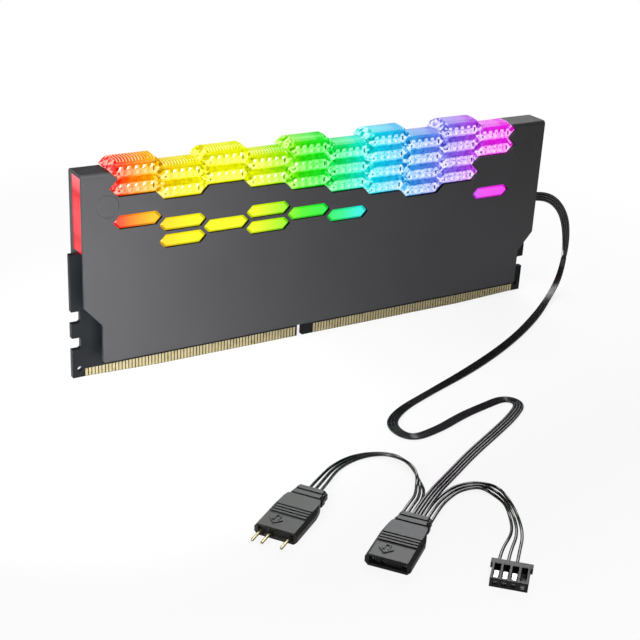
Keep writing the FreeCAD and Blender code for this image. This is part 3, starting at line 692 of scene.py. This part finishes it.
def dimple(form, middle, size, sparkle):
    """Adds a small oval that stays dark, as a shallow cone."""
    points, faces, marks = form
    base = len(points)
    for i in range(DIMPLE_SIDES):
        angle = 2 * math.pi * i / DIMPLE_SIDES
        points.append((middle[0] + size[0] / 2 * math.cos(angle), -RELIEF_RISE,
                       middle[1] + size[1] / 2 * math.sin(angle)))
    points.append((middle[0], -RELIEF_RISE - RELIEF_SINK, middle[1]))
    points.append((middle[0], RELIEF_SINK, middle[1]))
    for i in range(DIMPLE_SIDES):
        j = (i + 1) % DIMPLE_SIDES
        faces += [(base + i, base + j, base + DIMPLE_SIDES), (base + j, base + i, base + DIMPLE_SIDES + 1)]
        marks += [sparkle, sparkle]


def cell_relief():
    """One cell's field of blocks, shells and dimples, with its middle at the origin."""
    points, faces, marks = form = ([], [], [])
    for i in range(BLOCK_COUNT):
        x = (i - (BLOCK_COUNT - 1) / 2) * BLOCK_PITCH
        pillow(form, (x, -BLOCK_DROP), BLOCK_SIZE, BLOCK_NARROW, BLOCK_SPARKLES)
        pillow(form, (x + SHELL_LEAN, SHELL_LIFT), SHELL_SIZE, SHELL_NARROW, SHELL_SPARKLES)
    for place, size, sparkle in zip(DIMPLE_PLACES, DIMPLE_SIZES, DIMPLE_SPARKLES):
        dimple(form, place, size, sparkle)
    mesh = mesh_of("cell_relief", points, faces=faces)
    store(mesh, "sparkle", marks)
    store(mesh, "busy", [RELIEF_BUSYNESS] * len(marks))
    return link("cell_relief", mesh)


def copies_tree():
    """Sets a copy of one form on every point, turned about Z by the point's own turn."""
    tree, given = new_tree("set_copies", [("Form", "NodeSocketObject")])
    form = add(tree, "GeometryNodeObjectInfo", (given["Form"],)).outputs["Geometry"]
    turn = add(tree, "GeometryNodeInputNamedAttribute", ("turn",), data_type="FLOAT")
    rotation = add(tree, "ShaderNodeCombineXYZ", {"Z": turn})
    copies = add(tree, "GeometryNodeInstanceOnPoints", {
        "Points": given["Geometry"], "Instance": form, "Rotation": rotation})
    return close_tree(tree, given, copies)


def cell_reliefs():
    """Moulded relief on the front and rear face of every cell."""
    points, turns = [], []
    for column, (level, cells) in enumerate(zip(COLUMN_LEVELS, COLUMN_CELLS)):
        for i in range(cells):
            z = level_z(level + 1 + 2 * i) - FACE_DROP
            for side, turn in ((-1, 0.0), (1, math.pi)):
                points.append((column_x(column), side * BAR_HALF_DEPTH, z))
                turns.append(turn)
    mesh = mesh_of("cell_reliefs", points)
    mesh.attributes.new("turn", "FLOAT", "POINT").data.foreach_set("value", turns)
    piece = link("cell_reliefs", mesh)
    form = cell_relief()
    run_tree(piece, copies_tree(), {"Form": form, "Finish": CRYSTAL})
    bpy.data.objects.remove(form)
    dress(piece, CRYSTAL)


def crown_section():
    """Line over the top of a column, from the upper part of its front bend to past its middle."""
    points = []
    for i in range(RIB_TURN_STEPS + 1):
        angle = math.radians(RIB_FIRST_TURN + (90.0 - RIB_FIRST_TURN) * i / RIB_TURN_STEPS)
        points.append((BAR_ROUND * (1 - math.cos(angle)) - BAR_HALF_DEPTH, BAR_ROUND * (math.sin(angle) - 1)))
    points.append((RIB_REAR, 0.0))
    curve = bpy.data.curves.new("crown_section", "CURVE")
    curve.dimensions = "3D"
    spline = curve.splines.new("POLY")
    spline.points.add(len(points) - 1)
    for point, (y, z) in zip(spline.points, points):
        point.co = (0, y * MM, z * MM, 1)
    return link("crown_section", curve)


def ribs_tree():
    """Ribs set along each line at an even pitch, each a round bead bent over the given section."""
    tree, given = new_tree("crown_ribs", [
        ("Section", "NodeSocketObject"), ("Pitch", "NodeSocketFloat"), ("Radius", "NodeSocketFloat")])
    section = add(tree, "GeometryNodeObjectInfo", (given["Section"],)).outputs["Geometry"]
    ring = add(tree, "GeometryNodeCurvePrimitiveCircle", (RIB_SIDES, given["Radius"]))
    bead = add(tree, "GeometryNodeCurveToMesh", {"Curve": section, "Profile Curve": ring, "Fill Caps": True})
    lines = add(tree, "GeometryNodeMeshToCurve", (given["Geometry"],))
    places = add(tree, "GeometryNodeResampleCurve", {"Curve": lines, "Length": given["Pitch"]}, mode="LENGTH")
    copies = add(tree, "GeometryNodeInstanceOnPoints", {"Points": places, "Instance": bead})
    return close_tree(tree, given, copies)


def rib_facet(normal, center):
    """Ribs get a painted highlight along their backs and painted shade on their sides and at their rear ends.
    """
    from_middle = (center.x - COMB_CENTER_X) % CELL_PITCH - CELL_PITCH / 2
    if center.y > RIB_REAR - RIB_END_REACH:
        return RIB_END
    if abs(normal.x) > 0.6:
        return RIB_SIDE
    return RIB_PALE_BACK if from_middle < PALE_RIB_REACH else RIB_PLAIN_BACK


def crown_ribs():
    """Fine ribs over the top of every column."""
    points, edges = [], []
    half = CELL_FLAT / 2 - RIB_RADIUS
    for column, (level, cells) in enumerate(zip(COLUMN_LEVELS, COLUMN_CELLS)):
        top = level_z(level + 2 * cells)
        edges.append((len(points), len(points) + 1))
        points += [(column_x(column) - half, 0, top), (column_x(column) + half, 0, top)]
    piece = link("crown_ribs", mesh_of("crown_ribs", points, edges))
    section = crown_section()
    run_tree(piece, ribs_tree(), {
        "Section": section, "Pitch": RIB_PITCH * MM, "Radius": RIB_RADIUS * MM, "Finish": CRYSTAL})
    bpy.data.objects.remove(section)
    smooth_by_angle(piece.data, RIB_SMOOTH_ANGLE)
    mark_facets(piece, rib_facet)
    dress(piece, CRYSTAL)


# Windows

def window_facet(normal, center):
    """Pads are bright on their face and get painted shade on their lower and right bevels."""
    if abs(normal.y) > 0.95:
        return PAD_FACE
    return PAD_DIM_BEVEL if normal.z < -0.1 or normal.x > 0.3 else PAD_BEVEL


def windows():
    """Lit pads of both faces and the red windows of both ends."""
    for side in ("front", "rear"):
        pads = softened(side + "_window_diffuser", side + "_lit_windows", MILKY, edge=0.06)
        mark_facets(pads, window_facet)
    for side in ("left", "right"):
        softened(side + "_end_window", side + "_red_window", RED, edge=0.2)


# Board and what it carries

def module():
    """Black board, the finish of the parts that keep their shape, the screws and the lead's outlet."""
    softened("memory_board", "black_board", MASK, edge=0.06, segments=1)
    for finish, nodes in (
            (GOLD, ("front_contacts", "rear_contacts")),
            (EPOXY, ("front_memory_chips", "rear_memory_chips", "spd_chip")),
            (SILICONE, ("front_thermal_pad", "rear_thermal_pad")),
            (MASK, ("led_strip",)),
            (LIGHTS, ("led_chips",))):
        for node in nodes:
            finish_node(node, finish)
    softened("rear_screws", "countersunk_screws", STEEL, edge=0.06)
    softened("lead_outlet", "rubber_outlet", RUBBER, edge=0.3, segments=3)


# Leads

def smooth_line(name, route):
    """Points of the smooth line through a route, read from its spline."""
    curve = bpy.data.curves.new(name, "CURVE")
    curve.dimensions = "3D"
    curve.resolution_u = LINE_STEPS
    spline = curve.splines.new("NURBS")
    spline.points.add(len(route) - 1)
    for point, place in zip(spline.points, route):
        point.co = (*(value * MM for value in place), 1)
    spline.order_u = 3
    spline.use_endpoint_u = True
    spline.resolution_u = LINE_STEPS
    holder = link(name, curve)
    line = [vertex.co.copy() for vertex in plain_mesh(holder).vertices]
    bpy.data.objects.remove(holder)
    return line


def between(keys, share):
    """Value at a share of the length, eased between keys of (share, value)."""
    for (start, first), (end, second) in zip(keys, keys[1:]):
        if share <= end:
            part = (share - start) / (end - start)
            return first + (second - first) * part * part * (3 - 2 * part)
    return keys[-1][1]


def lead_frames(line, lengths, rolls, spreads):
    """Place, flat side, upper side and wire spacing at each point of a lead's line."""
    frames = []
    across = None
    for i, place in enumerate(line):
        along = (line[min(i + 1, len(line) - 1)] - line[max(i - 1, 0)]).normalized()
        level = Vector((0, 0, 1)).cross(along)
        across = level if level.length > UPRIGHT else across
        flat = (across - along * across.dot(along)).normalized()
        share = lengths[i] / lengths[-1]
        side = Matrix.Rotation(math.radians(between(rolls, share)), 3, along) @ flat
        frames.append((place, side, along.cross(side), between(spreads, share) * WIRE_SPACING * MM))
    return frames


def wire(points, faces, frames, offset):
    """Adds one round wire that keeps its offset, in spacings, from the middle of the lead."""
    base = len(points)
    for place, side, up, spacing in frames:
        center = place + side * (offset * spacing)
        for k in range(WIRE_SIDES):
            angle = 2 * math.pi * k / WIRE_SIDES
            spoke = side * math.cos(angle) + up * math.sin(angle)
            points.append((center + spoke * (WIRE_RADIUS * MM)) / MM)
    for corner in range(base, len(points) - WIRE_SIDES, WIRE_SIDES):
        for k in range(WIRE_SIDES):
            following = (k + 1) % WIRE_SIDES
            faces.append((corner + k, corner + following, corner + WIRE_SIDES + following,
                          corner + WIRE_SIDES + k))
    faces.append(tuple(range(base, base + WIRE_SIDES))[::-1])
    faces.append(tuple(range(len(points) - WIRE_SIDES, len(points))))


def flat_lead(name, node, route, wires, rolls, spreads):
    """A free lead of wires side by side, which stands for its CAD solid and carries its plug."""
    line = smooth_line(name + "_line", route)
    lengths = [0.0]
    for first, second in zip(line, line[1:]):
        lengths.append(lengths[-1] + (second - first).length)
    frames = lead_frames(line, lengths, rolls, spreads)
    points, faces = [], []
    for i in range(wires):
        wire(points, faces, frames, i - (wires - 1) / 2)
    lead = mesh_piece(name, points, faces, VINYL)
    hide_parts(node)


# Plugs

def painted_flank_shade(normal, center):
    """The flanks of a plug get painted shade, darker than its lit top."""
    return 0.0 if normal.z > 0.85 else 0.85


def placed(points, place, turn):
    """Points of a plug's own frame, front end at the origin and rear along +X, moved to where it lies."""
    angle = math.radians(turn)
    cosine, sine = math.cos(angle), math.sin(angle)
    return [(place[0] + x * cosine - y * sine, place[1] + x * sine + y * cosine, z) for x, y, z in points]


def arrow_outline(name, place, turn):
    """Raised outline of an arrow on a plug's top face, which points to the front end."""
    outer, inner = [
        [(ARROW_FRONT + reach, ARROW_ACROSS + half) for reach, half in outline]
        + [(ARROW_FRONT + reach, ARROW_ACROSS - half) for reach, half in outline[:0:-1]]
        for outline in (ARROW_OUTER, ARROW_INNER)]
    count = len(outer)
    low, high = PLUG_THICKNESS - ARROW_SINK, PLUG_THICKNESS + ARROW_RISE
    points = [(x, y, z) for z in (low, high) for ring in (outer, inner) for x, y in ring]
    faces = []
    for i in range(count):
        j = (i + 1) % count
        faces += [(i, j, 2 * count + j, 2 * count + i),
                  (count + j, count + i, 3 * count + i, 3 * count + j),
                  (2 * count + i, 2 * count + j, 3 * count + j, 3 * count + i),
                  (j, i, count + i, count + j)]
    return mesh_piece(name, placed(points, place, turn), faces, SHELL)


def plugs_and_leads():
    """Three plugs with their contacts, and the three flat leads that end in them."""
    male = softened("male_connector", "pin_plug_shell", SHELL, edge=0.07)
    female = softened("female_connector", "socket_plug_shell", SHELL, edge=0.07)
    small = softened("small_connector", "small_housing", HOUSING, edge=0.08)
    pins = softened("male_pins", "square_pins", GOLD, edge=0.12)
    sleeves = softened("female_contacts", "spring_sleeves", TIN, edge=0.02, segments=1)
    crimps = softened("small_crimps", "crimp_terminals", TIN, edge=0.15)
    male_arrow = arrow_outline("pin_plug_arrow", MALE_PLACE, MALE_TURN)
    female_arrow = arrow_outline("socket_plug_arrow", FEMALE_PLACE, FEMALE_TURN)
    # Painted shade on the flanks of the plugs, the small housing and the arrows.
    for shell in (male, female, small, male_arrow, female_arrow):
        mark_painted_shade(shell, painted_flank_shade)
    flat_lead("flat_lead", "main_lead", LEAD_ROUTE, LEAD_WIRES, LEAD_ROLLS, LEAD_SPREADS)
    flat_lead("pin_plug_lead", "male_branch", MALE_BRANCH_ROUTE, BRANCH_WIRES, MALE_ROLLS, MALE_SPREADS)
    flat_lead("small_housing_lead", "small_branch", SMALL_BRANCH_ROUTE, BRANCH_WIRES, SMALL_ROLLS,
              SMALL_SPREADS)


# Stage

def studio_floor():
    """White floor that keeps the object's soft shadow."""
    corners = [(x * FLOOR_REACH, y * FLOOR_REACH, 0) for x, y in ((-1, -1), (1, -1), (1, 1), (-1, 1))]
    mesh = mesh_of("studio_floor", corners, faces=[(0, 1, 2, 3)])
    material, tree, point = new_material("studio_floor")
    matte = add(tree, "ShaderNodeBsdfDiffuse", (linear("f4f4f4"),))
    glow = add(tree, "ShaderNodeEmission", (linear("ffffff"), 1.0))
    camera_ray = add(tree, "ShaderNodeLightPath").outputs["Is Camera Ray"]
    away = add(tree, "ShaderNodeVectorMath", (point,), operation="LENGTH")
    share = add(tree, RANGE, (away, FLOOR_FADE[0] * MM, FLOOR_FADE[1] * MM, *FLOOR_GLOW))
    seen = add(tree, MATH, (camera_ray, share), operation="MULTIPLY")
    add(tree, "ShaderNodeOutputMaterial", (add(tree, "ShaderNodeMixShader", (seen, matte, glow)),))
    mesh.materials.append(material)
    link("studio_floor", mesh)


def studio_world():
    """Weak even light from all around, white to the camera and through clear pieces."""
    world = bpy.data.worlds.new("studio")
    bpy.context.scene.world = world
    world.use_nodes = True
    tree = world.node_tree
    tree.nodes.clear()
    path = add(tree, "ShaderNodeLightPath").outputs
    seen = add(tree, MATH, (path["Is Camera Ray"], path["Is Transmission Ray"]), operation="MAXIMUM")
    strength = add(tree, RANGE, (seen, 0.0, 1.0, SURROUNDINGS, 1.0))
    sky = add(tree, "ShaderNodeBackground", (linear("ffffff"), strength))
    add(tree, "ShaderNodeOutputWorld", (sky,))


def soft_lamp(name, place, target, size, power, spread=180):
    """Square soft box that faces a target; places and size in millimetres, power in watts."""
    lamp = bpy.data.lights.new(name, "AREA")
    lamp.size = size * MM
    lamp.energy = power
    lamp.spread = math.radians(spread)
    holder = link(name, lamp)
    holder.location = Vector(place) * MM
    toward = (Vector(target) - Vector(place)).normalized()
    holder.rotation_euler = toward.to_track_quat("-Z", "Y").to_euler()
    holder.visible_camera = False


def camera():
    """Camera at the photograph's viewing angle."""
    data = bpy.data.cameras.new("camera")
    data.sensor_width = CAMERA_SENSOR
    data.lens = CAMERA_LENS
    data.clip_start = CAMERA_NEAREST * MM
    data.clip_end = CAMERA_FARTHEST * MM
    holder = link("camera", data)
    columns = [Vector(CAMERA_RIGHT), -Vector(CAMERA_DOWN), -Vector(CAMERA_FORWARD)]
    turn = Matrix(columns).transposed().to_4x4()
    holder.matrix_world = Matrix.Translation(Vector(CAMERA_PLACE) * MM) @ turn
    bpy.context.scene.camera = holder


covers()
light_bar()
cell_reliefs()
crown_ribs()
windows()
module()
plugs_and_leads()

studio_floor()
studio_world()
soft_lamp("key_left", (-120, -85, 62), (-50, 0, 26), size=50, power=0.12, spread=85)
soft_lamp("top_soft", (30, -220, 420), (0, -90, 0), size=220, power=0.7)
soft_lamp("back_soft", (125, 111, 192), (-10, -75, 0), size=130, power=0.3)
camera()
bpy.context.scene.view_settings.view_transform = "Standard"
